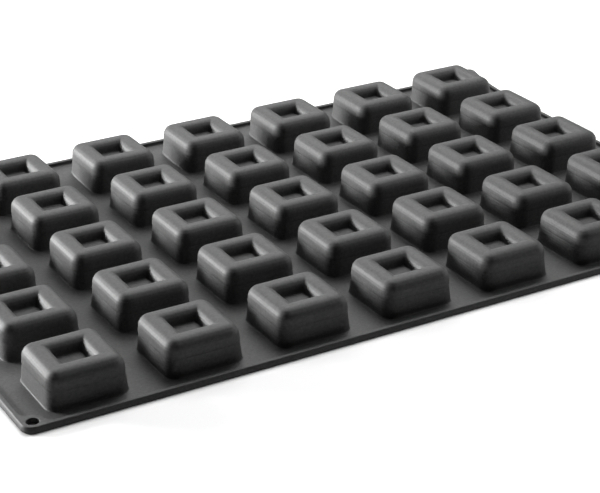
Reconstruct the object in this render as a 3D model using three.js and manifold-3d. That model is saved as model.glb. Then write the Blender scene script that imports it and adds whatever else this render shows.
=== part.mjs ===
// Silicone baking mould, lying as it is stored, with its cups up. A flat sheet carries a grid of square cups, each
// with a square recess sunk into its top. A rim stands round the sheet, with an eyelet at each corner.
// The real mould is one moulding. Here hairline seams divide it into one cell for each cup, which has that cup's
// share of the sheet, and into the bars and the eyelets of the rim.
// Millimetres, +Z up. The origin is under the middle of the mould, on the surface that it lies on. +X runs along the
// long side and +Y to the back.
import * as THREE from "three";
import { mergeVertices } from "three/addons/utils/BufferGeometryUtils.js";
import Module from "manifold-3d";

// Driving dimensions: the whole mould, the grid and the sheet
const MOULD_LENGTH = 593; // along X, over the rim
const MOULD_WIDTH = 384; // along Y, over the rim
const COLUMNS = 7;
const ROWS = 5;
const BORDER_X = 5.3; // plain strip of the sheet between the grid of cells and the rim, at both ends
const BORDER_Y = 0.3; // the same at the front and the back
const SHEET_THICKNESS = 1.6;
const WALL = 2.2; // silicone of the cups
const SEAM = 0.05; // between neighbouring pieces

// Driving dimensions: a cup, outside
const CUP_WIDTH = 56.4; // where it stands on the sheet
const CUP_HEIGHT = 25.6; // above the sheet
const CUP_DRAFT = 3.75; // lean of the walls, in degrees
const CUP_CORNER = 9; // radius of the upright corners
const CUP_SHOULDER = 8; // radius of the rounded top edge

// Driving dimensions: the recess in a cup's top
const RECESS_WIDTH = 22.6; // where its walls would meet the top
const RECESS_FLOOR = 19.2;
const RECESS_DEPTH = 8.6;
const RECESS_CORNER = 1; // radius of its upright corners, in which the lips meet
const RECESS_LIP = 6.8; // radius of its broad round lip

// Driving dimensions: the rim and its eyelets
const RIM_WIDTH = 4.2;
const RIM_HEIGHT = 4.2; // from the underside of the sheet
const RIM_ROUNDING = 1.4;
const EYELET_HOLE = 8;
const EYELET_WALL = 4.3;

// Fineness of round stretches, in steps
const CORNER_STEPS = 2;
const SHOULDER_STEPS = 3;
const LIP_STEPS = 3;
const HOLE_STEPS = 16;

const PAST = 1; // how far a cutting shape reaches past what it cuts

// Heights and slopes that follow from the dimensions
const cupTop = SHEET_THICKNESS + CUP_HEIGHT;
const draft = THREE.MathUtils.degToRad(CUP_DRAFT);
const recessSlope = Math.atan((RECESS_WIDTH - RECESS_FLOOR) / 2 / RECESS_DEPTH);
const recessFloorZ = cupTop - RECESS_DEPTH;

// Plan of the sheet, as distances from its middle, and the spacing of the cups, which share it evenly
const sheetX = MOULD_LENGTH / 2;
const sheetY = MOULD_WIDTH / 2;
const rimInnerX = sheetX - RIM_WIDTH;
const rimInnerY = sheetY - RIM_WIDTH;
const pitchX = (2 * (rimInnerX - BORDER_X)) / COLUMNS;
const pitchY = (2 * (rimInnerY - BORDER_Y)) / ROWS;
const eyeletRadius = EYELET_HOLE / 2 + EYELET_WALL;

const wasm = await Module();
wasm.setup();

const silicone = new THREE.MeshStandardMaterial({ color: 0x474747, roughness: 0.6, metalness: 0 });

// A closed geometry as a solid that can be joined and cut.
function solidOf(geometry) {
  const bare = geometry.clone();
  bare.deleteAttribute("normal");
  bare.deleteAttribute("uv");
  const merged = mergeVertices(bare, 1e-4);
  return new wasm.Manifold(
    new wasm.Mesh({
      numProp: 3,
      vertProperties: new Float32Array(merged.attributes.position.array),
      triVerts: new Uint32Array(merged.index.array),
    }),
  );
}

// A solid as a named mesh.
function meshOf(name, solid) {
  const made = solid.getMesh();
  const geometry = new THREE.BufferGeometry();
  geometry.setAttribute("position", new THREE.BufferAttribute(made.vertProperties, 3));
  geometry.setIndex(new THREE.BufferAttribute(made.triVerts, 1));
  geometry.computeVertexNormals();
  const mesh = new THREE.Mesh(geometry, silicone.clone());
  mesh.name = name;
  return mesh;
}

// One ring of a loft: a square with round corners, seen from above, at height z. No corner is sharper than a seam.
function squareRing(half, corner, z) {
  const radius = THREE.MathUtils.clamp(corner, SEAM, half);
  const ring = [];
  for (let quarter = 0; quarter < 4; quarter++) {
    const middle = (quarter + 0.5) * (Math.PI / 2);
    const centreX = Math.sign(Math.cos(middle)) * (half - radius);
    const centreY = Math.sign(Math.sin(middle)) * (half - radius);
    for (let step = 0; step <= CORNER_STEPS; step++) {
      const angle = (quarter + step / CORNER_STEPS) * (Math.PI / 2);
      ring.push([centreX + radius * Math.cos(angle), centreY + radius * Math.sin(angle), z]);
    }
  }
  return ring;
}

// A closed solid through rings of equal length, listed from the lowest to the highest.
function loft(rings) {
  const count = rings[0].length;
  const faces = [];
  for (let level = 0; level + 1 < rings.length; level++) {
    for (let i = 0; i < count; i++) {
      const a = level * count + i;
      const b = level * count + ((i + 1) % count);
      faces.push(a, b, b + count, a, b + count, a + count);
    }
  }
  const last = (rings.length - 1) * count;
  for (let i = 1; i + 1 < count; i++) {
    faces.push(0, i + 1, i);
    faces.push(last, last + i, last + i + 1);
  }
  const geometry = new THREE.BufferGeometry();
  geometry.setAttribute("position", new THREE.Float32BufferAttribute(rings.flat(2), 3));
  geometry.setIndex(faces);
  return solidOf(geometry);
}

// Half the width of a cup's wall at height z, inset by a wall thickness.
function wallHalf(z, inset) {
  return CUP_WIDTH / 2 - (z - SHEET_THICKNESS) * Math.tan(draft) - inset / Math.cos(draft);
}

// A cup's outer form, inset by a wall thickness: leaning walls from startZ up to the round shoulder and the flat top.
function cupForm(startZ, inset) {
  const radius = Math.max(CUP_SHOULDER - inset, SEAM);
  const centreZ = cupTop - inset - radius;
  const centreHalf = wallHalf(centreZ, inset) - radius / Math.cos(draft);
  const corner = CUP_CORNER - inset;
  const rings = [squareRing(wallHalf(startZ, inset), corner, startZ)];
  for (let step = 0; step <= SHOULDER_STEPS; step++) {
    const angle = THREE.MathUtils.lerp(draft, Math.PI / 2, step / SHOULDER_STEPS);
    const half = centreHalf + radius * Math.cos(angle);
    rings.push(squareRing(half, corner - radius * (1 - Math.cos(angle)), centreZ + radius * Math.sin(angle)));
  }
  return loft(rings);
}

// Half the width of the recess's walls at height z, moved out by a wall thickness.
function recessHalf(z, outset) {
  return RECESS_FLOOR / 2 + (z - recessFloorZ) * Math.tan(recessSlope) + outset / Math.cos(recessSlope);
}

// The space of the recess in a cup's top, from its floor up through the round lip. Moved out by a wall thickness it is
// the boss that the recess makes inside the cup.
function recessForm(outset) {
  const turn = Math.PI / 2 - recessSlope; // the lip turns from the top into the wall
  const lipHalf = RECESS_WIDTH / 2 + RECESS_LIP * Math.tan(turn / 2);
  const radius = Math.max(RECESS_LIP - outset, SEAM);
  const centreZ = cupTop - outset - radius;
  const floorZ = recessFloorZ - outset;
  const corner = RECESS_CORNER + outset;
  const rings = [squareRing(recessHalf(floorZ, outset), corner, floorZ)];
  for (let step = LIP_STEPS; step >= 0; step--) {
    const angle = Math.PI / 2 + turn * (step / LIP_STEPS);
    rings.push(squareRing(lipHalf + radius * Math.cos(angle), corner, centreZ + radius * Math.sin(angle)));
  }
  rings.push(squareRing(lipHalf, corner, cupTop + PAST));
  return loft(rings);
}

// A flat plate with the given edges, as thick as the sheet.
function plate(left, right, front, back) {
  const outline = new THREE.Shape();
  outline.moveTo(left, front);
  outline.lineTo(right, front);
  outline.lineTo(right, back);
  outline.lineTo(left, back);
  outline.closePath();
  return solidOf(new THREE.ExtrudeGeometry(outline, { depth: SHEET_THICKNESS, bevelEnabled: false }));
}

// The part of the corner square that an eyelet takes from the sheet, in the frame of the whole mould.
function eyeletNotch(sideX, sideY) {
  const reach = 2 * eyeletRadius + SEAM;
  const notch = new THREE.BoxGeometry(reach, reach, SHEET_THICKNESS + 2 * PAST);
  notch.translate(sideX * (sheetX - reach / 2), sideY * (sheetY - reach / 2), SHEET_THICKNESS / 2);
  return solidOf(notch);
}

// The edge of a cell on one side of its cup: half way to the next cup, or at the rim.
function cellEdge(index, count, side, pitch, rimInner) {
  const outermost = side < 0 ? index === 0 : index === count - 1;
  const centre = (index - (count - 1) / 2) * pitch;
  return outermost ? side * (rimInner - SEAM) : centre + side * (pitch / 2 - SEAM / 2);
}

const cup = cupForm(SHEET_THICKNESS / 2, 0);
const hollow = cupForm(-PAST, WALL).subtract(recessForm(WALL));
const recess = recessForm(0);

// One cup with its share of the sheet, open below, with its geometry about the cup's own middle.
function cupCell(column, row) {
  const x = (column - (COLUMNS - 1) / 2) * pitchX;
  const y = (row - (ROWS - 1) / 2) * pitchY;
  const left = cellEdge(column, COLUMNS, -1, pitchX, rimInnerX);
  const right = cellEdge(column, COLUMNS, 1, pitchX, rimInnerX);
  const front = cellEdge(row, ROWS, -1, pitchY, rimInnerY);
  const back = cellEdge(row, ROWS, 1, pitchY, rimInnerY);
  let share = plate(left, right, front, back);
  for (const sideX of [-1, 1]) {
    for (const sideY of [-1, 1]) {
      share = share.subtract(eyeletNotch(sideX, sideY));
    }
  }
  const solid = share.translate([-x, -y, 0]).add(cup).subtract(hollow).subtract(recess);
  const mesh = meshOf(`cup_r${row + 1}_c${column + 1}`, solid);
  mesh.position.set(x, y, 0);
  return mesh;
}

// A bar of the rim: its section extruded along its length, with the top edges rounded.
function rimBar(name, length) {
  const half = RIM_WIDTH / 2;
  const rounding = Math.min(RIM_ROUNDING, half);
  const section = new THREE.Shape();
  section.moveTo(-half, 0);
  section.lineTo(half, 0);
  section.lineTo(half, RIM_HEIGHT - rounding);
  section.absarc(half - rounding, RIM_HEIGHT - rounding, rounding, 0, Math.PI / 2);
  section.absarc(rounding - half, RIM_HEIGHT - rounding, rounding, Math.PI / 2, Math.PI);
  section.closePath();
  const bar = new THREE.ExtrudeGeometry(section, { depth: length, bevelEnabled: false, curveSegments: CORNER_STEPS });
  bar.translate(0, 0, -length / 2);
  return meshOf(name, solidOf(bar));
}

// A corner of the rim about its own hole, with the mould's outer corner towards -X and -Y. The pad stands as high as
// the rim, and a foot as thick as the sheet fills the square corner behind it.
function eyelet(name) {
  const radius = eyeletRadius;
  const foot = new THREE.Shape();
  foot.absarc(0, 0, radius, Math.PI, 1.5 * Math.PI);
  foot.lineTo(radius, -radius);
  foot.lineTo(radius, radius);
  foot.lineTo(-radius, radius);
  foot.closePath();
  const pad = new THREE.Shape();
  pad.absarc(0, 0, radius, Math.PI, 1.5 * Math.PI);
  pad.lineTo(radius, -radius);
  pad.absarc(0, 0, radius, 0, Math.PI / 2);
  pad.lineTo(-radius, radius);
  pad.closePath();
  const curveSegments = HOLE_STEPS / 4;
  const low = solidOf(new THREE.ExtrudeGeometry(foot, { depth: SHEET_THICKNESS, bevelEnabled: false, curveSegments }));
  const high = solidOf(new THREE.ExtrudeGeometry(pad, { depth: RIM_HEIGHT, bevelEnabled: false, curveSegments }));
  const bore = new THREE.CylinderGeometry(EYELET_HOLE / 2, EYELET_HOLE / 2, RIM_HEIGHT + 2 * PAST, HOLE_STEPS);
  bore.rotateX(Math.PI / 2);
  bore.translate(0, 0, RIM_HEIGHT / 2);
  return meshOf(name, low.add(high).subtract(solidOf(bore)));
}

// The rim: four bars between four eyelets.
function rim() {
  const group = new THREE.Group();
  const longBar = 2 * (sheetX - 2 * eyeletRadius - SEAM);
  const shortBar = 2 * (sheetY - 2 * eyeletRadius - SEAM);
  for (const [name, side] of [["rim_front", -1], ["rim_back", 1]]) {
    const bar = rimBar(name, longBar);
    bar.rotation.set(Math.PI / 2, Math.PI / 2, 0);
    bar.position.y = side * (sheetY - RIM_WIDTH / 2);
    group.add(bar);
  }
  for (const [name, side] of [["rim_left", -1], ["rim_right", 1]]) {
    const bar = rimBar(name, shortBar);
    bar.rotation.set(Math.PI / 2, 0, 0);
    bar.position.x = side * (sheetX - RIM_WIDTH / 2);
    group.add(bar);
  }
  const corners = [
    ["eyelet_front_left", -1, -1],
    ["eyelet_front_right", 1, -1],
    ["eyelet_back_right", 1, 1],
    ["eyelet_back_left", -1, 1],
  ];
  const asMade = Math.atan2(-1, -1); // direction of the outer corner before it is turned
  for (const [name, sideX, sideY] of corners) {
    const corner = eyelet(name);
    corner.rotation.z = Math.atan2(sideY, sideX) - asMade;
    corner.position.set(sideX * (sheetX - eyeletRadius), sideY * (sheetY - eyeletRadius), 0);
    group.add(corner);
  }
  return group;
}

const mould = new THREE.Group();
mould.name = "silicone_mould";
for (let row = 0; row < ROWS; row++) {
  for (let column = 0; column < COLUMNS; column++) {
    mould.add(cupCell(column, row));
  }
}
mould.add(rim());

export default mould;
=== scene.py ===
"""Looks of the silicone baking mould: its rows of cups, its rim with the eyelets, and a stage.

The file is laid out as a Blender add-on and run as a script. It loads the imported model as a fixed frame,
makes one smooth piece for each row of cups and one for the rim, and lets them stand for the plain solids.
Lengths are metres, +Z is up, and the mould lies with its cups up on z = 0.
"""

from math import atan, atan2, cos, pi, radians, sin, sqrt, tan

import bmesh
import bpy
from bpy.props import FloatProperty, FloatVectorProperty, IntProperty, PointerProperty
from mathutils import Matrix, Vector


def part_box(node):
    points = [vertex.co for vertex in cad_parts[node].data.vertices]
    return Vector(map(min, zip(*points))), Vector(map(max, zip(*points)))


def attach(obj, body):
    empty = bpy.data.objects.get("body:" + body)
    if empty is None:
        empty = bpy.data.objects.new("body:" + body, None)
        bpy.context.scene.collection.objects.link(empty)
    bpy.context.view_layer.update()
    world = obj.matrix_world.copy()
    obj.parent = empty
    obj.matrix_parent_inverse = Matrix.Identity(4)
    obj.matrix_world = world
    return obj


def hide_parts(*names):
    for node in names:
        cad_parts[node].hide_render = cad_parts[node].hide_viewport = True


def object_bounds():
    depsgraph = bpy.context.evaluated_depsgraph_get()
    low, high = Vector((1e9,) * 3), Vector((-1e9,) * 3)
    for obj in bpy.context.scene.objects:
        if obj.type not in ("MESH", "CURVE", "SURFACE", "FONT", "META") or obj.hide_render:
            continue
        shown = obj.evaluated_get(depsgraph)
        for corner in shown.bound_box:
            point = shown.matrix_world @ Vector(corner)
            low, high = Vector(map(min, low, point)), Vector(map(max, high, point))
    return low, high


bl_info = {
    "name": "Silicone baking mould",
    "version": (1, 0, 0),
    "blender": (4, 5, 0),
    "location": "3D View > Sidebar > Mould",
    "description": "Makes the rows of cups, the rim and the stage of a silicone baking mould",
    "category": "Object",
}

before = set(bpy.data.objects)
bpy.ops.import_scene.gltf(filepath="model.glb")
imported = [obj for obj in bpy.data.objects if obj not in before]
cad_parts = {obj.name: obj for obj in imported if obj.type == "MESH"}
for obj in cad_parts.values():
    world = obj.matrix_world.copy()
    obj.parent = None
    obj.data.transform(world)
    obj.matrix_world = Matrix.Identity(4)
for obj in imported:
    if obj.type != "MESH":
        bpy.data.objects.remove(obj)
CAD_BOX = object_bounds()
MM = 0.001

# Fineness of the meshes, in steps
CORNER_STEPS = 6
SIDE_STEPS = 8
SHOULDER_STEPS = 9
LIP_STEPS = 8
FILLET_STEPS = 4
RIM_STEPS = 5
OUTER_CORNER_STEPS = 10
HOLE_STEPS = 40
BAR_STEP = 4 * MM  # longest stretch of a bar between two sections

# Where the levels of a straight wall lie, as parts of its height
WALL_PARTS = (0.1, 0.4, 0.7, 0.95)
RECESS_PARTS = (0.85, 0.5, 0.15)

CELL_CORNER = 12 * MM  # reach of the points at each corner of a cup's share of the sheet
ROUND_SHARE = 2 / 3  # part of those points that goes round the hole, at the mould's own corners
ROUND_SLACK = 0.01  # slack of that part
LEDGE = 0.25 * MM  # half the height of the witness line on a cup's wall
SUPPORT = 0.4 * MM  # a flat keeps its own shading up to this far from a rounding
CREASE = radians(40)  # edges that turn more than this stay sharp
TUCK = 0.05 * MM  # the sheet's hidden edge stays this far above the underside of the rim's bars
PAD_TUCK = 0.4 * MM  # and this far above the underside of its pads
TOUCH = 0.05 * MM  # points closer than this to a line lie on it
WELD = 0.01 * MM  # points closer than this to each other become one

# Marks in the silicone. Specks, grain and lines are finer on a mould, and drawn coarser so that they show.
BLOOM_WIDTH = 30 * MM
SPECK_WIDTH = 2 * MM
GRAIN_WIDTH = 1.2 * MM
LINE_SPACING = 1.8 * MM
WAVE_RATE = 20  # a wave texture turns by this many radians in a metre at scale 1
SPECK_RANGE = (0.3, 0.7)  # values of the noise between which a speck goes from clean to pale
SPECK_SHARE = 0.7  # part that the specks have in the pale colour, and the bloom has the rest
GRAIN_STRENGTH = 0.10
LINE_STRENGTH = 0.22
RELIEF = 0.2 * MM  # height of the grain and the lines at full strength
ROUGHNESS_RANGE = (0.56, 0.64)  # from clean silicone to dry bloom
SILICONE_IOR = 1.5


def middle(node, axis):
    """Middle of a CAD node along one axis."""
    low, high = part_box(node)
    return (low[axis] + high[axis]) / 2


def linear(colour):
    """An sRGB hex value as a linear colour."""
    channels = [int(colour[i : i + 2], 16) / 255 for i in (1, 3, 5)]
    return tuple(c / 12.92 if c <= 0.04045 else ((c + 0.055) / 1.055) ** 2.4 for c in channels)


def length(name, description, default):
    """A property that holds a length."""
    return FloatProperty(
        name=name,
        description=description,
        default=default,
        unit="LENGTH",
        subtype="DISTANCE",
    )


def paint(name, description, colour):
    """A property that holds a colour, given as an sRGB hex value."""
    return FloatVectorProperty(
        name=name,
        description=description,
        default=linear(colour),
        size=3,
        subtype="COLOR",
    )


class MouldSizes(bpy.types.PropertyGroup):
    """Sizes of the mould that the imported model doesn't state as such, or that a user would change."""

    columns: IntProperty(name="Cups in a row", description="Cups along the long side", default=7, min=1)
    rows: IntProperty(name="Rows", description="Rows of cups from front to back", default=5, min=1)
    pitch_x: length(
        "Cup spacing along a row",
        "From the middle of one cup to the next",
        middle("cup_r2_c3", 0) - middle("cup_r2_c2", 0),
    )
    pitch_y: length(
        "Row spacing",
        "From the middle of one row to the next",
        middle("cup_r3_c2", 1) - middle("cup_r2_c2", 1),
    )
    sheet_x: length("Half length", "From the middle of the mould to its end", CAD_BOX[1][0])
    sheet_y: length("Half width", "From the middle of the mould to its long side", CAD_BOX[1][1])
    sheet: length("Sheet thickness", "Thickness of the flat sheet", 1.6 * MM)
    wall: length("Cup wall", "Thickness of the silicone of the cups", 2.2 * MM)
    cup_top: length("Cup top", "Height of the cups over the table", CAD_BOX[1][2])
    cup_width: length("Cup width", "Width of a cup where it stands on the sheet", 56.4 * MM)
    cup_corner: length("Cup corner", "Radius of a cup's upright corners", 9 * MM)
    cup_shoulder: length("Cup shoulder", "Height of a cup's rounded top edge", 8 * MM)
    cup_reach: length("Cup shoulder reach", "How far the rounded top edge reaches in over the top", 8 * MM)
    witness_height: length("Witness line", "Height over the sheet of the line from the tool", 13.7 * MM)
    witness_depth: length("Witness depth", "How far the wall below that line is set back", 0.25 * MM)
    draft: FloatProperty(
        name="Draft",
        description="Lean of a cup's walls",
        default=radians(3.75),
        subtype="ANGLE",
    )
    foot_fillet: length("Foot fillet", "Radius between a cup and the sheet", 0.9 * MM)
    recess_width: length("Recess width", "Width where the recess's walls would meet the top", 22.6 * MM)
    recess_floor: length("Recess floor", "Width of the floor of the recess", 19.2 * MM)
    recess_depth: length("Recess depth", "Depth of the recess in a cup's top", 8.6 * MM)
    recess_corner: length("Recess corner", "Radius of the upright corners of the recess", 1 * MM)
    recess_lip: length("Recess lip", "Radius of the broad round lip of the recess", 6.8 * MM)
    recess_fillet: length("Recess fillet", "Radius between the recess's walls and floor", 0.8 * MM)
    mouth_edge: length("Mouth edge", "Radius of the edges of the cavity below", 0.7 * MM)
    rim_width: length(
        "Rim width",
        "Width of the raised rim",
        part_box("rim_front")[1][1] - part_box("rim_front")[0][1],
    )
    rim_height: length("Rim height", "Height of the rim over the table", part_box("rim_front")[1][2])
    rim_lean: length("Rim lean", "How far the rim's outer face leans in above the sheet", 1.0 * MM)
    rim_rounding: length("Rim rounding", "Radius of the rim's outer top edge", 1.1 * MM)
    rim_inside: length("Rim inside", "Radius of the rim's inner top edge", 0.6 * MM)
    rim_fillet: length("Rim fillet", "Radius between the rim and the sheet", 0.8 * MM)
    rim_foot: length("Rim foot", "Radius of the rim's lower outer edge", 0.4 * MM)
    eyelet_hole: length("Eyelet hole", "Width of the hole in each corner", 8.5 * MM)
    eyelet_wall: length("Eyelet wall", "Silicone between a hole and the edge of its pad", 4.05 * MM)
    eyelet_edge: length("Eyelet edge", "Radius of the edges of a hole", 0.25 * MM)
    eyelet_fillet: length("Eyelet fillet", "Radius, seen from above, between a pad and the rim", 5 * MM)
    lean: length("Cup lean", "How far a soft cup leans at its top, at most", 0.35 * MM)
    curl_start: length("Curl start", "Where the soft sheet starts to curl up to its back edge", 140 * MM)
    back_curl: length("Back curl", "How far the back edge curls up", 3.5 * MM)
    end_curl: length("End curl", "How far the right end lies off the table", 2 * MM)
    corner_curl: length("Corner curl", "How much further the back right corner curls up", 5 * MM)
    seed: IntProperty(name="Lean seed", description="Seed of the cups' lean", default=4)


class MouldColours(bpy.types.PropertyGroup):
    """Colours of the mould and of its stage."""

    silicone: paint("Silicone", "Body colour of the silicone", "#3e3e3e")
    bloom: paint("Bloom", "Paler colour of handled silicone", "#555555")
    table: paint("Table", "Colour of the table", "#f2f2f2")


def add_node(tree, kind, settings=None, inputs=None):
    """Adds a node with its settings, and sets its inputs to values or links them to outputs."""
    node = tree.nodes.new(kind)
    for name, value in (settings or {}).items():
        setattr(node, name, value)
    for key, value in (inputs or {}).items():
        if isinstance(value, bpy.types.NodeSocket):
            tree.links.new(value, node.inputs[key])
        else:
            node.inputs[key].default_value = value
    return node


def calculate(tree, operation, first, second=0.0):
    """The output of a node that does one sum on two values or outputs."""
    return add_node(tree, "ShaderNodeMath", {"operation": operation}, {0: first, 1: second}).outputs[0]


def noise(tree, place, width, detail, roughness):
    """The output of a noise whose marks have about the given width."""
    inputs = {"Vector": place, "Scale": 1 / width, "Detail": detail, "Roughness": roughness}
    return add_node(tree, "ShaderNodeTexNoise", inputs=inputs).outputs[0]


def silicone_rubber(colours):
    """Silicone rubber, pressed and cured in a machined steel tool.

    It is matt and nearly black, and shows a broad soft sheen where it turns from the light. The tool leaves
    fine level lines on the upright walls. Handling leaves a slightly paler, drier bloom in patches, and specks
    of dust.
    """
    name = "silicone_rubber_pressed"
    material = bpy.data.materials.get(name)
    if material:
        return material
    material = bpy.data.materials.new(name)
    material.use_nodes = True
    tree = material.node_tree
    tree.nodes.clear()
    place = add_node(tree, "ShaderNodeTexCoord").outputs["Object"]

    # Colour and roughness: soft patches of bloom, and specks of dust over them
    patches = noise(tree, place, BLOOM_WIDTH, detail=3.0, roughness=0.55)
    dust = add_node(
        tree,
        "ShaderNodeMapRange",
        inputs={
            "Value": noise(tree, place, SPECK_WIDTH, detail=2.0, roughness=0.6),
            "From Min": SPECK_RANGE[0],
            "From Max": SPECK_RANGE[1],
        },
    )
    cover = add_node(
        tree,
        "ShaderNodeMix",
        inputs={"Factor": SPECK_SHARE, "A": patches, "B": dust.outputs["Result"]},
    )
    colour = add_node(
        tree,
        "ShaderNodeMix",
        {"data_type": "RGBA"},
        {"Factor": cover.outputs[0], "A": (*colours.silicone, 1), "B": (*colours.bloom, 1)},
    )
    dryness = add_node(
        tree,
        "ShaderNodeMapRange",
        inputs={"Value": patches, "To Min": ROUGHNESS_RANGE[0], "To Max": ROUGHNESS_RANGE[1]},
    )

    # Relief: the grain of the tool's surface, and its milling lines round the walls
    grain = add_node(
        tree,
        "ShaderNodeBump",
        inputs={
            "Height": noise(tree, place, GRAIN_WIDTH, detail=2.0, roughness=0.6),
            "Strength": GRAIN_STRENGTH,
            "Distance": RELIEF,
        },
    )
    waves = add_node(
        tree,
        "ShaderNodeTexWave",
        {"wave_type": "BANDS", "bands_direction": "Z", "wave_profile": "SIN"},
        {
            "Vector": place,
            "Scale": 2 * pi / WAVE_RATE / LINE_SPACING,
            "Distortion": 1.2,
            "Detail": 1.0,
            "Detail Scale": 0.02,
        },
    )
    lines = add_node(
        tree,
        "ShaderNodeBump",
        inputs={
            "Height": waves.outputs[1],
            "Strength": LINE_STRENGTH,
            "Distance": RELIEF,
            "Normal": grain.outputs["Normal"],
        },
    )
    shader = add_node(
        tree,
        "ShaderNodeBsdfPrincipled",
        inputs={
            "Base Color": colour.outputs[2],
            "Roughness": dryness.outputs["Result"],
            "IOR": SILICONE_IOR,
            "Normal": lines.outputs["Normal"],
        },
    )
    add_node(tree, "ShaderNodeOutputMaterial", inputs={"Surface": shader.outputs["BSDF"]})
    return material


def ring(half_x, half_y, corner, z, rounded=True):
    """One level of a cup seen from above: a rectangle with round or square corners, at height z."""
    points = []
    for quarter in range(4):
        along, across = (half_x, half_y) if quarter % 2 == 0 else (half_y, half_x)
        turn = Matrix.Rotation(quarter * pi / 2, 3, "Z")
        for step in range(CORNER_STEPS + 1):
            part = step / CORNER_STEPS
            if rounded:
                x = along - corner * (1 - cos(part * pi / 2))
                y = across - corner * (1 - sin(part * pi / 2))
            else:
                x = along - corner * max(0, 2 * part - 1)
                y = across - corner * max(0, 1 - 2 * part)
            points.append(turn @ Vector((x, y, z)))
        for step in range(1, SIDE_STEPS):
            x = (along - corner) * (1 - 2 * step / SIDE_STEPS)
            points.append(turn @ Vector((x, across, z)))
    return points


def arc(half, z, radius, start, end, steps):
    """Points of an arc in a cup's section, as (half width, height), from one angle to another."""
    angles = [start + (end - start) * step / steps for step in range(steps + 1)]
    return [(half + radius * cos(angle), z + radius * sin(angle)) for angle in angles]


def wall_half(sizes, z, inset):
    """Half the width of a cup's wall at height z, inset by a wall thickness."""
    return sizes.cup_width / 2 - (z - sizes.sheet) * tan(sizes.draft) - inset / cos(sizes.draft)


def wall_line(sizes, low, high, depth):
    """Heights up a straight wall, with how far it lies back there.

    From its foot up to the witness line the wall goes back by depth, and above it the wall is straight.
    """
    line = sizes.sheet + sizes.witness_height
    heights = [(low + part * (line - LEDGE - low), part * depth) for part in WALL_PARTS]
    heights += [(line - LEDGE, depth), (line + LEDGE, 0), (line + LEDGE + SUPPORT, 0)]
    return heights + [(high - SUPPORT, 0)]


def wall_levels(sizes, inset, base, edge):
    """Levels (half width, corner radius, height) of a cup's skin from the sheet at height base to its top.

    The skin leaves the sheet on a rounding of radius edge, goes up the leaning wall and over the shoulder.
    """
    draft = sizes.draft
    corner = sizes.cup_corner - inset
    foot_z = base + edge
    foot_half = wall_half(sizes, foot_z, inset) + edge / cos(draft)
    foot = arc(foot_half, foot_z, edge, -pi / 2, draft - pi, FILLET_STEPS)
    levels = [(foot_half + SUPPORT, corner + edge + SUPPORT, base)]
    levels += [(half, corner + half - wall_half(sizes, z, inset), z) for half, z in foot]

    rise, reach = sizes.cup_shoulder - inset, sizes.cup_reach - inset
    start = atan(rise / reach * tan(draft))
    bend_z = sizes.cup_top - sizes.cup_shoulder
    bend_half = wall_half(sizes, bend_z + rise * sin(start), inset) - reach * cos(start)
    low, high = foot[-1][1], bend_z + rise * sin(start)
    for z, depth in wall_line(sizes, low, high, 0 if inset else sizes.witness_depth):
        levels.append((wall_half(sizes, z, inset) - depth, corner, z))
    for step in range(SHOULDER_STEPS + 1):
        angle = start + (pi / 2 - start) * step / SHOULDER_STEPS
        top_corner = corner - (sizes.cup_corner - sizes.recess_corner) * (1 - cos(angle))
        top_corner = max(top_corner, sizes.recess_corner)
        levels.append((bend_half + reach * cos(angle), top_corner, bend_z + rise * sin(angle)))
    return levels


def recess_levels(sizes, outset, edge):
    """Levels of the recess in a cup's top, from its broad round lip down to the middle of its floor.

    Moved out by a wall thickness they are the boss that the recess makes inside the cup. The lips meet in
    mitred corners, and edge is the radius between the walls and the floor.
    """
    slope = atan((sizes.recess_width - sizes.recess_floor) / 2 / sizes.recess_depth)
    turn = pi / 2 - slope
    corner = sizes.recess_corner + outset
    floor_z = sizes.cup_top - sizes.recess_depth - outset
    lip = sizes.recess_lip - outset
    lip_half = sizes.recess_width / 2 + sizes.recess_lip * tan(turn / 2)

    def wall(z):
        return sizes.recess_floor / 2 + (z - floor_z - outset) * tan(slope) + outset / cos(slope)

    bend = arc(lip_half, sizes.cup_top - sizes.recess_lip, lip, pi / 2, pi / 2 + turn, LIP_STEPS)
    foot_half = wall(floor_z + edge) - edge / cos(slope)
    foot = arc(foot_half, floor_z + edge, edge, -slope, -pi / 2, FILLET_STEPS)
    points = [(lip_half + SUPPORT, sizes.cup_top - outset)] + bend
    low, high = foot[0][1], bend[-1][1]
    for part in RECESS_PARTS:
        z = low + part * (high - low)
        points.append((wall(z), z))
    points += foot + [(foot[-1][0] - SUPPORT, floor_z)]
    return [(half, corner, z) for half, z in points]


def skin(mesh, sizes, base, levels):
    """Adds one skin of a cup's cell: the sheet from the cell's edge to the first level, then all levels."""
    edge = ring(sizes.pitch_x / 2, sizes.pitch_y / 2, CELL_CORNER, base, rounded=False)
    rings = [edge] + [ring(half, half, corner, z) for half, corner, z in levels]
    rows = [[mesh.verts.new(point) for point in points] for points in rings]
    for lower, upper in zip(rows, rows[1:]):
        for i in range(len(lower)):
            mesh.faces.new((lower[i - 1], lower[i], upper[i], upper[i - 1]))
    mesh.faces.new(rows[-1])


def cup_cell(sizes):
    """A mesh of one cup with its share of the sheet: an upper and a lower skin, open at the cell's edge."""
    shape = bmesh.new()
    outside = wall_levels(sizes, 0, sizes.sheet, sizes.foot_fillet)
    outside += recess_levels(sizes, 0, sizes.recess_fillet)
    cavity = wall_levels(sizes, sizes.wall, 0, sizes.mouth_edge)
    cavity += recess_levels(sizes, sizes.wall, sizes.mouth_edge)
    skin(shape, sizes, sizes.sheet, outside)
    skin(shape, sizes, 0, cavity)
    mesh = bpy.data.meshes.new("cup_cell")
    shape.to_mesh(mesh)
    shape.free()
    return mesh


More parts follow.
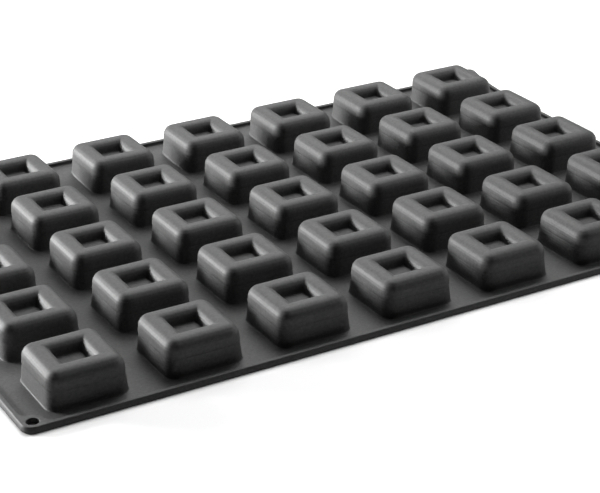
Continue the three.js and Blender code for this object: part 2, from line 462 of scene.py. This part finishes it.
def row_of_cups():
    """A node tree that sets one cell in a row, leans each soft cup a little and joins them into one skin."""
    tree = bpy.data.node_groups.new("Row of cups", "GeometryNodeTree")
    wanted = (
        ("Cell", "NodeSocketGeometry"),
        ("Cups", "NodeSocketInt"),
        ("Spacing", "NodeSocketFloat"),
        ("Row Place", "NodeSocketFloat"),
        ("Sheet Top", "NodeSocketFloat"),
        ("Cup Top", "NodeSocketFloat"),
        ("Lean", "NodeSocketFloat"),
        ("Seed", "NodeSocketInt"),
        ("Silicone", "NodeSocketMaterial"),
    )
    for name, kind in wanted:
        tree.interface.new_socket(name, in_out="INPUT", socket_type=kind)
    tree.interface.new_socket("Row", in_out="OUTPUT", socket_type="NodeSocketGeometry")
    given = add_node(tree, "NodeGroupInput").outputs

    # One cell for each cup, with the row's middle at x = 0
    gaps = calculate(tree, "SUBTRACT", given["Cups"], 1.0)
    span = calculate(tree, "MULTIPLY", gaps, given["Spacing"])
    first = calculate(tree, "MULTIPLY", span, -0.5)
    start = add_node(tree, "ShaderNodeCombineXYZ", inputs={"X": first, "Y": given["Row Place"]})
    step = add_node(tree, "ShaderNodeCombineXYZ", inputs={"X": given["Spacing"]})
    places = add_node(
        tree,
        "GeometryNodeMeshLine",
        {"mode": "OFFSET"},
        {"Count": given["Cups"], "Start Location": start.outputs[0], "Offset": step.outputs[0]},
    )
    cells = add_node(
        tree,
        "GeometryNodeInstanceOnPoints",
        inputs={"Points": places.outputs[0], "Instance": given["Cell"]},
    )
    leaning = add_node(
        tree,
        "FunctionNodeRandomValue",
        {"data_type": "FLOAT_VECTOR"},
        {"Min": (-1, -1, 0), "Max": (1, 1, 0), "Seed": given["Seed"]},
    )
    marked = add_node(
        tree,
        "GeometryNodeStoreNamedAttribute",
        {"data_type": "FLOAT_VECTOR", "domain": "INSTANCE"},
        {"Geometry": cells.outputs[0], "Name": "lean", "Value": leaning.outputs[0]},
    )
    joined = add_node(tree, "GeometryNodeRealizeInstances", inputs={"Geometry": marked.outputs[0]})

    # The lean grows from nothing at the sheet to its full reach at the cup's top
    position = add_node(tree, "GeometryNodeInputPosition").outputs[0]
    height = add_node(tree, "ShaderNodeSeparateXYZ", inputs={0: position})
    share = add_node(
        tree,
        "ShaderNodeMapRange",
        {"interpolation_type": "SMOOTHSTEP"},
        {
            "Value": height.outputs["Z"],
            "From Min": given["Sheet Top"],
            "From Max": given["Cup Top"],
            "To Max": given["Lean"],
        },
    )
    lean = add_node(
        tree,
        "GeometryNodeInputNamedAttribute",
        {"data_type": "FLOAT_VECTOR"},
        {"Name": "lean"},
    )
    offset = add_node(
        tree,
        "ShaderNodeVectorMath",
        {"operation": "SCALE"},
        {0: lean.outputs[0], "Scale": share.outputs["Result"]},
    )
    leaned = add_node(
        tree,
        "GeometryNodeSetPosition",
        inputs={"Geometry": joined.outputs[0], "Offset": offset.outputs[0]},
    )
    welded = add_node(
        tree,
        "GeometryNodeMergeByDistance",
        inputs={"Geometry": leaned.outputs[0], "Distance": WELD},
    )
    bare = add_node(
        tree,
        "GeometryNodeRemoveAttribute",
        inputs={"Geometry": welded.outputs[0], "Name": "lean"},
    )
    coated = add_node(
        tree,
        "GeometryNodeSetMaterial",
        inputs={"Geometry": bare.outputs[0], "Material": given["Silicone"]},
    )
    add_node(tree, "NodeGroupOutput", inputs={"Row": coated.outputs[0]})
    return tree


def eyelet_radius(sizes):
    """Radius of an eyelet's pad, which is also the radius of the mould's corners."""
    return sizes.eyelet_hole / 2 + sizes.eyelet_wall


def tuck_under_rim(shape, sizes):
    """Moves the outer edge of a row's sheet under the rim, and lets it pass round the eyelets' holes."""
    cells_x = sizes.columns * sizes.pitch_x / 2
    cells_y = sizes.rows * sizes.pitch_y / 2
    edge_x = sizes.sheet_x - sizes.rim_width / 2
    edge_y = sizes.sheet_y - sizes.rim_width / 2
    hole_x = sizes.sheet_x - eyelet_radius(sizes)
    hole_y = sizes.sheet_y - eyelet_radius(sizes)
    clear = (sizes.eyelet_hole + sizes.eyelet_wall) / 2
    inwards = -3 * pi / 4
    for vert in shape.verts:
        x, y = abs(vert.co.x), abs(vert.co.y)
        at_end = abs(x - cells_x) < TOUCH
        at_side = abs(y - cells_y) < TOUCH
        if not (at_end or at_side):
            continue
        away_x, away_y = cells_x - x, cells_y - y
        tuck = TUCK
        if max(away_x, away_y) < CELL_CORNER + TOUCH:
            tuck = PAD_TUCK
            part = (away_x - away_y) / CELL_CORNER
            if part < -ROUND_SHARE - ROUND_SLACK:
                x, y = edge_x, hole_y - clear
            elif part > ROUND_SHARE + ROUND_SLACK:
                x, y = hole_x - clear, edge_y
            else:
                angle = inwards - pi / 4 * part / ROUND_SHARE
                x, y = hole_x + clear * cos(angle), hole_y + clear * sin(angle)
        else:
            x = edge_x if at_end else x
            y = edge_y if at_side else y
        vert.co.x = x if vert.co.x > 0 else -x
        vert.co.y = y if vert.co.y > 0 else -y
        vert.co.z = max(vert.co.z, tuck)


def close_edge(shape):
    """Closes a row between its upper and lower skin, and turns all faces outwards."""
    rims = [edge for edge in shape.edges if edge.is_boundary]
    bmesh.ops.bridge_loops(shape, edges=rims)
    bmesh.ops.recalc_face_normals(shape, faces=shape.faces)


def settle(shape, sizes):
    """Lays the soft mould on the table as it lies there: its back edge and its right end curl up a little.

    The end bends where the last cups stop. The cups are stiffer, so only their feet follow the sheet.
    """
    last_cup = (sizes.columns - 1) / 2 * sizes.pitch_x + sizes.cup_width / 2
    end_start = last_cup + 2 * sizes.foot_fillet
    back_span = sizes.sheet_y - sizes.curl_start
    stiff_z = sizes.cup_top / 2
    for vert in shape.verts:
        x, y, z = vert.co
        back = max(0, (y - sizes.curl_start) / back_span)
        end = max(0, (x - end_start) / (sizes.sheet_x - end_start))
        behind = min(1, 0.5 * (1 + y / sizes.sheet_y))
        follow = min(1, max(0, (stiff_z - z) / (stiff_z - sizes.rim_height)))
        lift = back**2 * (sizes.back_curl + end * sizes.corner_curl) + end * behind * sizes.end_curl
        vert.co.z += follow * lift


def finish_piece(piece, shape, nodes):
    """Writes the shape into the piece, shades it smooth and ties it to the frame in the CAD nodes' place."""
    settle(shape, bpy.context.scene.mould_sizes)
    shape.to_mesh(piece.data)
    shape.free()
    piece.data.shade_smooth()
    piece.data.set_sharp_from_angle(angle=CREASE)
    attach(piece, "root")
    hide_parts(*nodes)


def new_piece(name, mesh):
    """A new object in the scene, at the origin."""
    piece = bpy.data.objects.new(name, mesh)
    bpy.context.scene.collection.objects.link(piece)
    return piece


class MOULD_OT_cups(bpy.types.Operator):
    """Makes the rows of cups with their sheet"""

    bl_idname = "mould.cups"
    bl_label = "Rows of cups"

    def execute(self, context):
        sizes = context.scene.mould_sizes
        tree = row_of_cups()
        cell = cup_cell(sizes)
        items = tree.interface.items_tree
        inputs = {item.name: item.identifier for item in items if item.in_out == "INPUT"}
        for row in range(sizes.rows):
            piece = new_piece(f"cups_row_{row + 1}", cell)
            modifier = piece.modifiers.new("row", "NODES")
            modifier.node_group = tree
            values = {
                "Cups": sizes.columns,
                "Spacing": sizes.pitch_x,
                "Row Place": (row - (sizes.rows - 1) / 2) * sizes.pitch_y,
                "Sheet Top": sizes.sheet,
                "Cup Top": sizes.cup_top,
                "Lean": sizes.lean,
                "Seed": sizes.seed + row,
                "Silicone": silicone_rubber(context.scene.mould_colours),
            }
            for name, value in values.items():
                modifier[inputs[name]] = value
            depsgraph = context.evaluated_depsgraph_get()
            made = piece.evaluated_get(depsgraph)
            mesh = bpy.data.meshes.new_from_object(made, depsgraph=depsgraph)
            piece.modifiers.remove(modifier)
            mesh.name = piece.name
            piece.data = mesh
            shape = bmesh.new()
            shape.from_mesh(mesh)
            tuck_under_rim(shape, sizes)
            close_edge(shape)
            nodes = [f"cup_r{row + 1}_c{column + 1}" for column in range(sizes.columns)]
            finish_piece(piece, shape, nodes)
        bpy.data.meshes.remove(cell)
        return {"FINISHED"}


def pad_reach(sizes):
    """How far along a bar the fillet of a corner's pad reaches, from the mould's edge."""
    radius = eyelet_radius(sizes)
    off = sizes.rim_width + sizes.eyelet_fillet
    return radius + sqrt((radius + sizes.eyelet_fillet) ** 2 - (off - radius) ** 2)


def outer_corner(sizes, inset):
    """Outer outline of a corner of the rim, moved in by inset, as distances from the two edges."""
    radius = eyelet_radius(sizes)
    reach = pad_reach(sizes)
    straight = [reach + (radius - reach) * step / RIM_STEPS for step in range(RIM_STEPS)]
    angles = [pi + pi / 2 * step / OUTER_CORNER_STEPS for step in range(OUTER_CORNER_STEPS + 1)]
    bend = [(radius + (radius - inset) * cos(a), radius + (radius - inset) * sin(a)) for a in angles]
    return [(inset, v) for v in straight] + bend + [(u, inset) for u in straight[::-1]]


def inner_corner(sizes, inset):
    """Inner outline of a corner of the rim, moved in by inset, as distances from the two edges.

    It comes along the end bar, swells round the eyelet's pad between two fillets and leaves along the side.
    """
    radius = eyelet_radius(sizes)
    fillet = sizes.eyelet_fillet
    off = sizes.rim_width + fillet
    reach = pad_reach(sizes)
    lift = atan2(off - radius, reach - radius)
    leg = []
    for step in range(RIM_STEPS + 1):
        angle = -pi / 2 - (pi / 2 - lift) * step / RIM_STEPS
        leg.append((reach + (fillet + inset) * cos(angle), off + (fillet + inset) * sin(angle)))
    pad = []
    for step in range(1, 2 * RIM_STEPS):
        angle = lift + (pi / 2 - 2 * lift) * step / (2 * RIM_STEPS)
        pad.append((radius + (radius - inset) * cos(angle), radius + (radius - inset) * sin(angle)))
    return [(v, u) for u, v in leg] + pad[::-1] + leg[::-1]


def bar_steps(sizes):
    """Steps along each bar, from the front one round to the left one."""
    halves = (sizes.sheet_x, sizes.sheet_y, sizes.sheet_x, sizes.sheet_y)
    return [round(2 * half / BAR_STEP) for half in halves]


def outline(sizes, corner, z):
    """A closed outline round the mould at height z, from one corner's points, in short steps."""
    corners = []
    for side_x, side_y, turned in ((-1, -1, 1), (1, -1, -1), (1, 1, 1), (-1, 1, -1)):
        points = [(side_x * (sizes.sheet_x - u), side_y * (sizes.sheet_y - v)) for u, v in corner]
        corners.append(points[::turned])
    loop = []
    for points, following, steps in zip(corners, corners[1:] + corners[:1], bar_steps(sizes)):
        loop += points
        (x, y), (next_x, next_y) = points[-1], following[0]
        loop += [(x + (next_x - x) * i / steps, y + (next_y - y) * i / steps) for i in range(1, steps)]
    return [Vector((x, y, z)) for x, y in loop]


def band(shape, loops):
    """Adds faces between closed loops of equal length. Returns the first and the last loop's vertices."""
    rows = [[shape.verts.new(point) for point in loop] for loop in loops]
    for lower, upper in zip(rows, rows[1:]):
        for i in range(len(lower)):
            shape.faces.new((lower[i - 1], lower[i], upper[i], upper[i - 1]))
    return rows[0], rows[-1]


def corners_and_bars(sizes, loop):
    """Parts the vertices of an outline into its four corners and the four bars that follow them."""
    steps = bar_steps(sizes)
    points = (len(loop) - sum(steps)) // len(steps) + 1
    parts = []
    start = 0
    for count in steps:
        last = start + points - 1
        parts.append((loop[start : last + 1], (loop + loop[:1])[last : last + count + 1]))
        start = last + count
    return parts


def flat_face(shape, sizes, outer, inner, holes):
    """Fills the flat between two outlines: quads on the bars, triangles round each hole."""
    outer, inner = corners_and_bars(sizes, outer), corners_and_bars(sizes, inner)
    for (_, along), (_, across) in zip(outer, inner):
        for i in range(1, len(along)):
            shape.faces.new((along[i - 1], along[i], across[i], across[i - 1]))
    for (outside, _), (inside, _), hole in zip(outer, inner, holes):
        loops = (outside + inside[::-1], hole)
        edges = [shape.edges.get((loop[i - 1], loop[i])) for loop in loops for i in range(len(loop))]
        bmesh.ops.triangle_fill(shape, use_beauty=True, edges=edges)


def leaning_face(sizes):
    """The rim's outer face from the sheet over its round top edge, as (distance moved in, height)."""
    lean = atan(sizes.rim_lean / (sizes.rim_height - sizes.sheet))
    rounding = sizes.rim_rounding
    centre_z = sizes.rim_height - rounding
    start_z = centre_z + rounding * sin(lean)
    centre = rounding * cos(lean) + (start_z - sizes.sheet) * tan(lean)
    turns = [lean + (pi / 2 - lean) * step / RIM_STEPS for step in range(RIM_STEPS + 1)]
    face = [(0, sizes.sheet), (SUPPORT * tan(lean), sizes.sheet + SUPPORT)]
    return face + [(centre - rounding * cos(a), centre_z + rounding * sin(a)) for a in turns]


def hole_loops(sizes, side_x, side_y):
    """Loops of the hole in one corner, from the underside to the top, with rounded edges."""
    radius, edge, top = sizes.eyelet_hole / 2, sizes.eyelet_edge, sizes.rim_height
    centre_x = side_x * (sizes.sheet_x - eyelet_radius(sizes))
    centre_y = side_y * (sizes.sheet_y - eyelet_radius(sizes))
    turns = [pi / 2 * step / FILLET_STEPS for step in range(FILLET_STEPS + 1)]
    levels = [(radius + edge * (1 - sin(a)), edge * (1 - cos(a))) for a in turns]
    levels += [(radius + edge * (1 - cos(a)), top - edge * (1 - sin(a))) for a in turns]
    angles = [2 * pi * step / HOLE_STEPS for step in range(HOLE_STEPS)]
    loops = []
    for wide, z in levels:
        loops.append([Vector((centre_x + wide * cos(a), centre_y + wide * sin(a), z)) for a in angles])
    return loops


class MOULD_OT_rim(bpy.types.Operator):
    """Makes the raised rim with an eyelet in each corner"""

    bl_idname = "mould.rim"
    bl_label = "Rim and eyelets"

    def execute(self, context):
        sizes = context.scene.mould_sizes
        shape = bmesh.new()
        top = sizes.rim_height
        turns = [pi / 2 * step / RIM_STEPS for step in range(RIM_STEPS + 1)]

        foot = sizes.rim_foot
        outer = [(foot * (1 - sin(a)), foot * (1 - cos(a))) for a in turns]
        outer += leaning_face(sizes)
        outside = [outline(sizes, outer_corner(sizes, inset), z) for inset, z in outer]
        low_outer, high_outer = band(shape, outside)

        # The fillet starts just below the sheet's top, so that the two don't share a face
        fillet = sizes.rim_fillet
        round_top = sizes.rim_inside
        inner = [(0, 0), (0, sizes.sheet / 2)]
        inner += [(-fillet * (1 - sin(a)), sizes.sheet + fillet * (1 - cos(a)) - TUCK) for a in turns]
        inner += [(round_top * (1 - cos(a)), top - round_top * (1 - sin(a))) for a in turns]
        inside = [outline(sizes, inner_corner(sizes, inset), z) for inset, z in inner]
        low_inner, high_inner = band(shape, inside)

        sides = ((-1, -1), (1, -1), (1, 1), (-1, 1))
        holes = [band(shape, hole_loops(sizes, side_x, side_y)) for side_x, side_y in sides]
        flat_face(shape, sizes, low_outer, low_inner, [low for low, _ in holes])
        flat_face(shape, sizes, high_outer, high_inner, [high for _, high in holes])
        bmesh.ops.recalc_face_normals(shape, faces=shape.faces)

        piece = new_piece("rim", bpy.data.meshes.new("rim"))
        piece.data.materials.append(silicone_rubber(context.scene.mould_colours))
        corners = ("front_left", "front_right", "back_right", "back_left")
        nodes = [f"rim_{side}" for side in ("front", "back", "left", "right")]
        nodes += [f"eyelet_{corner}" for corner in corners]
        finish_piece(piece, shape, nodes)
        return {"FINISHED"}


# The photograph's viewpoint: angles and distance from a point on the sheet, and the focal length in pixels
PHOTO_WIDTH = 600
FOCAL_PIXELS = 1804.0
SENSOR_WIDTH = 36  # in millimetres, as Blender counts it
VIEW_AZIMUTH = radians(-29.489)
VIEW_ELEVATION = radians(25.094)
VIEW_ROLL = radians(-0.627)
VIEW_DISTANCE = 1337.0 * MM
VIEW_TARGET = Vector((-19.4, -43.8, 1.6)) * MM
VIEW_REACH = 50


def add_camera(scene):
    """The camera at the photograph's viewpoint."""
    data = bpy.data.cameras.new("photo_view")
    data.sensor_width = SENSOR_WIDTH
    data.lens = data.sensor_width * FOCAL_PIXELS / PHOTO_WIDTH
    data.clip_end = VIEW_REACH
    camera = bpy.data.objects.new("photo_view", data)
    scene.collection.objects.link(camera)
    back = Vector(
        (
            sin(VIEW_AZIMUTH) * cos(VIEW_ELEVATION),
            -cos(VIEW_AZIMUTH) * cos(VIEW_ELEVATION),
            sin(VIEW_ELEVATION),
        )
    )
    level = (-back).to_track_quat("-Z", "Y").to_matrix()
    camera.matrix_world = Matrix.LocRotScale(
        VIEW_TARGET + back * VIEW_DISTANCE,
        (level @ Matrix.Rotation(VIEW_ROLL, 3, "Z")).to_quaternion(),
        None,
    )
    scene.camera = camera


TABLE_SIZE = 12
TABLE_GAP = 0.05 * MM  # the table lies this far below the mould, so that the two don't share a face
TABLE_WHITE = 0.45  # share of the table's white that is its own
TABLE_SHADE = 5 * MM  # from the mould's edge to where the table has that share; over this width the fading own white paints a contact shade
TABLE_BOUNCE = 0.35  # how much of the light that falls on the table it throws back at the mould
ROOM_LIGHT = 0.03

# Soft boxes round the table, turned to its middle: azimuth from the back towards the left, elevation,
# distance, width, height and power in watts. The low window is the key light, and the others fill in.
LAMPS = {
    "low_window": (radians(47), radians(13.5), 1.3, 0.61, 0.153, 34),
    "back_box": (radians(-20), radians(52), 1.7, 0.8, 0.8, 10.6),
    "right_box": (radians(-60), radians(58), 1.7, 0.8, 1.1, 11.2),
    "left_back_box": (radians(20), radians(32), 1.7, 0.8, 0.8, 3.8),
    "far_box": (radians(-29.5), radians(25), 1.7, 0.8, 0.8, 3.7),
    "side_box": (radians(-100), radians(20), 1.7, 0.8, 0.8, 7.1),
}


def add_lamp(scene, name, azimuth, elevation, distance, width, height, power):
    """A rectangular soft box that faces the middle of the table."""
    data = bpy.data.lights.new(name, "AREA")
    data.shape = "RECTANGLE"
    data.size = width
    data.size_y = height
    data.energy = power
    lamp = bpy.data.objects.new(name, data)
    towards = Vector((-sin(azimuth) * cos(elevation), cos(azimuth) * cos(elevation), sin(elevation)))
    lamp.location = towards * distance
    lamp.rotation_euler = (-towards).to_track_quat("-Z", "Y").to_euler()
    scene.collection.objects.link(lamp)


def seen_directly(tree):
    """One for rays that see a surface straight, in a mirror or through glass, and else nought."""
    rays = add_node(tree, "ShaderNodeLightPath").outputs
    either = calculate(tree, "MAXIMUM", rays["Is Camera Ray"], rays["Is Glossy Ray"])
    return calculate(tree, "MAXIMUM", either, rays["Is Transmission Ray"])


def own_white_with_painted_shade(tree, sizes):
    """Strength of the table's own white: nought under the mould and in full a short way from its edge, which
    paints shade under the mould and a contact shade along its edge.
    """
    place = add_node(tree, "ShaderNodeTexCoord").outputs["Object"]
    axes = add_node(tree, "ShaderNodeSeparateXYZ", inputs={0: place}).outputs
    gaps = []
    for axis, half in (("X", sizes.sheet_x), ("Y", sizes.sheet_y)):
        side = calculate(tree, "ABSOLUTE", axes[axis])
        gaps.append(calculate(tree, "SUBTRACT", side, half))
    gap = calculate(tree, "MAXIMUM", *gaps)
    return add_node(
        tree,
        "ShaderNodeMapRange",
        inputs={"Value": gap, "From Min": 0.0, "From Max": TABLE_SHADE, "To Max": TABLE_WHITE},
    ).outputs["Result"]


def white_table(colour, sizes):
    """White laminate, wiped matt: a pale even surface that keeps soft shadows.

    A part of its white is its own, so that it stays white where the mould shades it from the key light.
    That own white is nought under the mould and fades out towards its edge, which paints shade under it and a
    dark line of contact shade where it lies on the table. Light that bounces off it finds a grey table, so
    that the mould's front stays dark.
    """
    material = bpy.data.materials.new("white_laminate_matt")
    material.use_nodes = True
    tree = material.node_tree
    tree.nodes.clear()
    surface = add_node(tree, "ShaderNodeBsdfDiffuse", inputs={"Color": (*colour, 1)})
    # Painted shade: the table's own white is nought under the mould and fades out towards its edge, a painted
    # contact shade
    own = add_node(tree, "ShaderNodeEmission", inputs={"Strength": own_white_with_painted_shade(tree, sizes)})
    white = add_node(tree, "ShaderNodeAddShader", inputs={0: surface.outputs[0], 1: own.outputs[0]})
    bounce = (TABLE_BOUNCE, TABLE_BOUNCE, TABLE_BOUNCE, 1)
    grey = add_node(tree, "ShaderNodeBsdfDiffuse", inputs={"Color": bounce})
    seen = add_node(
        tree,
        "ShaderNodeMixShader",
        inputs={0: seen_directly(tree), 1: grey.outputs[0], 2: white.outputs[0]},
    )
    add_node(tree, "ShaderNodeOutputMaterial", inputs={"Surface": seen.outputs[0]})
    return material


class MOULD_OT_stage(bpy.types.Operator):
    """Makes the table, the lamps, the dim room and the camera"""

    bl_idname = "mould.stage"
    bl_label = "Stage"

    def execute(self, context):
        scene = context.scene
        scene.view_settings.view_transform = "Standard"
        bpy.ops.mesh.primitive_plane_add(size=TABLE_SIZE, location=(0, 0, -TABLE_GAP))
        table = context.object
        table.name = "table"
        table.data.materials.append(white_table(scene.mould_colours.table, scene.mould_sizes))

        world = bpy.data.worlds.new("dim_room")
        world.use_nodes = True
        tree = world.node_tree
        tree.nodes.clear()
        air = add_node(tree, "ShaderNodeBackground", inputs={"Strength": ROOM_LIGHT})
        add_node(tree, "ShaderNodeOutputWorld", inputs={"Surface": air.outputs[0]})
        scene.world = world

        for name, settings in LAMPS.items():
            add_lamp(scene, name, *settings)
        add_camera(scene)
        return {"FINISHED"}


class MOULD_PT_sidebar(bpy.types.Panel):
    """Lists the pieces of the mould and the stage"""

    bl_label = "Silicone mould"
    bl_idname = "MOULD_PT_sidebar"
    bl_space_type = "VIEW_3D"
    bl_region_type = "UI"
    bl_category = "Mould"

    def draw(self, context):
        for operator in (MOULD_OT_cups, MOULD_OT_rim, MOULD_OT_stage):
            self.layout.operator(operator.bl_idname)
        for group in (context.scene.mould_sizes, context.scene.mould_colours):
            for name in group.bl_rna.properties.keys():
                if name not in ("rna_type", "name"):
                    self.layout.prop(group, name)


CLASSES = (MouldSizes, MouldColours, MOULD_OT_cups, MOULD_OT_rim, MOULD_OT_stage, MOULD_PT_sidebar)


def register():
    """Adds the classes and the scene's properties."""
    for item in CLASSES:
        bpy.utils.register_class(item)
    bpy.types.Scene.mould_sizes = PointerProperty(type=MouldSizes)
    bpy.types.Scene.mould_colours = PointerProperty(type=MouldColours)


def unregister():
    """Removes the scene's properties and the classes."""
    del bpy.types.Scene.mould_colours
    del bpy.types.Scene.mould_sizes
    for item in reversed(CLASSES):
        bpy.utils.unregister_class(item)


def main():
    """Makes the pieces and the stage in order."""
    register()
    bpy.ops.mould.cups()
    bpy.ops.mould.rim()
    bpy.ops.mould.stage()


if __name__ == "__main__":
    main()
